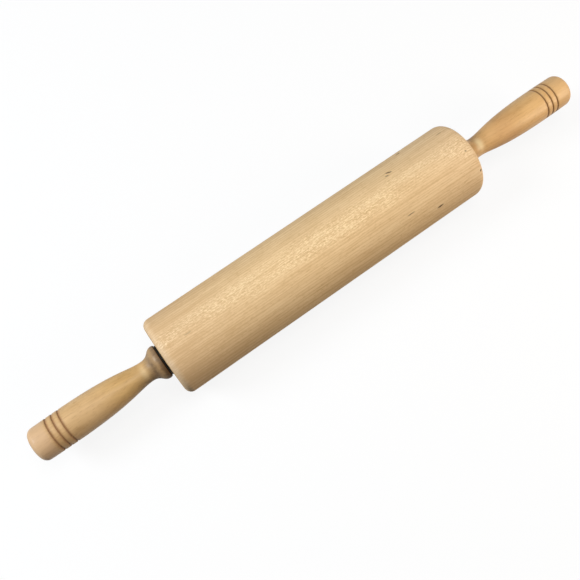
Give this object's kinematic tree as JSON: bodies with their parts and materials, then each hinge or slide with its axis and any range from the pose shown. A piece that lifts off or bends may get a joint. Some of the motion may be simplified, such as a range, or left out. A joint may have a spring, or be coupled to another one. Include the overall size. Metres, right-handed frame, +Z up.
{
  "type": "rolling pin",
  "caption": "Turned maple rolling pin: a thick barrel on ball bearings spins about a steel rod between two swelled handles with beaded collars.",
  "frame": {"origin": "on the worktop, under the middle of the barrel", "axes": "+X along the axle towards the right handle, +Z up from the worktop, +Y away from the person rolling"},
  "size_m": [0.5426, 0.0688, 0.0687],
  "materials": {
    "barrel_maple": "sanded pale maple, dry, straight fine grain",
    "handle_maple": "turned maple with a thin satin lacquer",
    "rod_steel": "ground",
    "bearing_steel": "polished bearing steel",
    "shield_steel": "pressed sheet",
    "cage_polymer": "moulded nylon",
    "insert_brass": "turned",
    "washer_steel": "blackened, dulled by use"
  },
  "bodies": {
    "axle_assembly": {"axle_rod": "rod_steel", "left_handle": "handle_maple", "right_handle": "handle_maple", "left_threaded_insert": "insert_brass", "right_threaded_insert": "insert_brass", "left_spacer_washer": "washer_steel", "right_spacer_washer": "washer_steel", "left_bearing_inner_ring": "bearing_steel", "right_bearing_inner_ring": "bearing_steel"},
    "barrel_assembly": {"barrel": "barrel_maple", "left_bearing_outer_ring": "bearing_steel", "right_bearing_outer_ring": "bearing_steel", "left_bearing_outer_shield": "shield_steel", "left_bearing_inner_shield": "shield_steel", "right_bearing_outer_shield": "shield_steel", "right_bearing_inner_shield": "shield_steel"},
    "left_ball_set": {"left_bearing_cage": "cage_polymer", "left_bearing_ball_1": "bearing_steel", "left_bearing_ball_2": "bearing_steel", "left_bearing_ball_3": "bearing_steel", "left_bearing_ball_4": "bearing_steel", "left_bearing_ball_5": "bearing_steel", "left_bearing_ball_6": "bearing_steel", "left_bearing_ball_7": "bearing_steel", "left_bearing_ball_8": "bearing_steel"},
    "right_ball_set": {"right_bearing_cage": "cage_polymer", "right_bearing_ball_1": "bearing_steel", "right_bearing_ball_2": "bearing_steel", "right_bearing_ball_3": "bearing_steel", "right_bearing_ball_4": "bearing_steel", "right_bearing_ball_5": "bearing_steel", "right_bearing_ball_6": "bearing_steel", "right_bearing_ball_7": "bearing_steel", "right_bearing_ball_8": "bearing_steel"}
  },
  "joints": [
    {"name": "barrel_spin", "type": "hinge", "parent": "axle_assembly", "child": "barrel_assembly", "pos_m": [0, 0, 0.03435], "axis": [1, 0, 0], "continuous": true},
    {"name": "left_ball_set_spin", "type": "hinge", "parent": "axle_assembly", "child": "left_ball_set", "pos_m": [-0.148, 0, 0.03435], "axis": [1, 0, 0], "continuous": true},
    {"name": "right_ball_set_spin", "type": "hinge", "parent": "axle_assembly", "child": "right_ball_set", "pos_m": [0.148, 0, 0.03435], "axis": [1, 0, 0], "continuous": true}
  ],
  "couplings": [
    {"joint": "left_ball_set_spin", "follows": "barrel_spin", "ratio": 0.61904},
    {"joint": "right_ball_set_spin", "follows": "barrel_spin", "ratio": 0.61904}
  ]
}
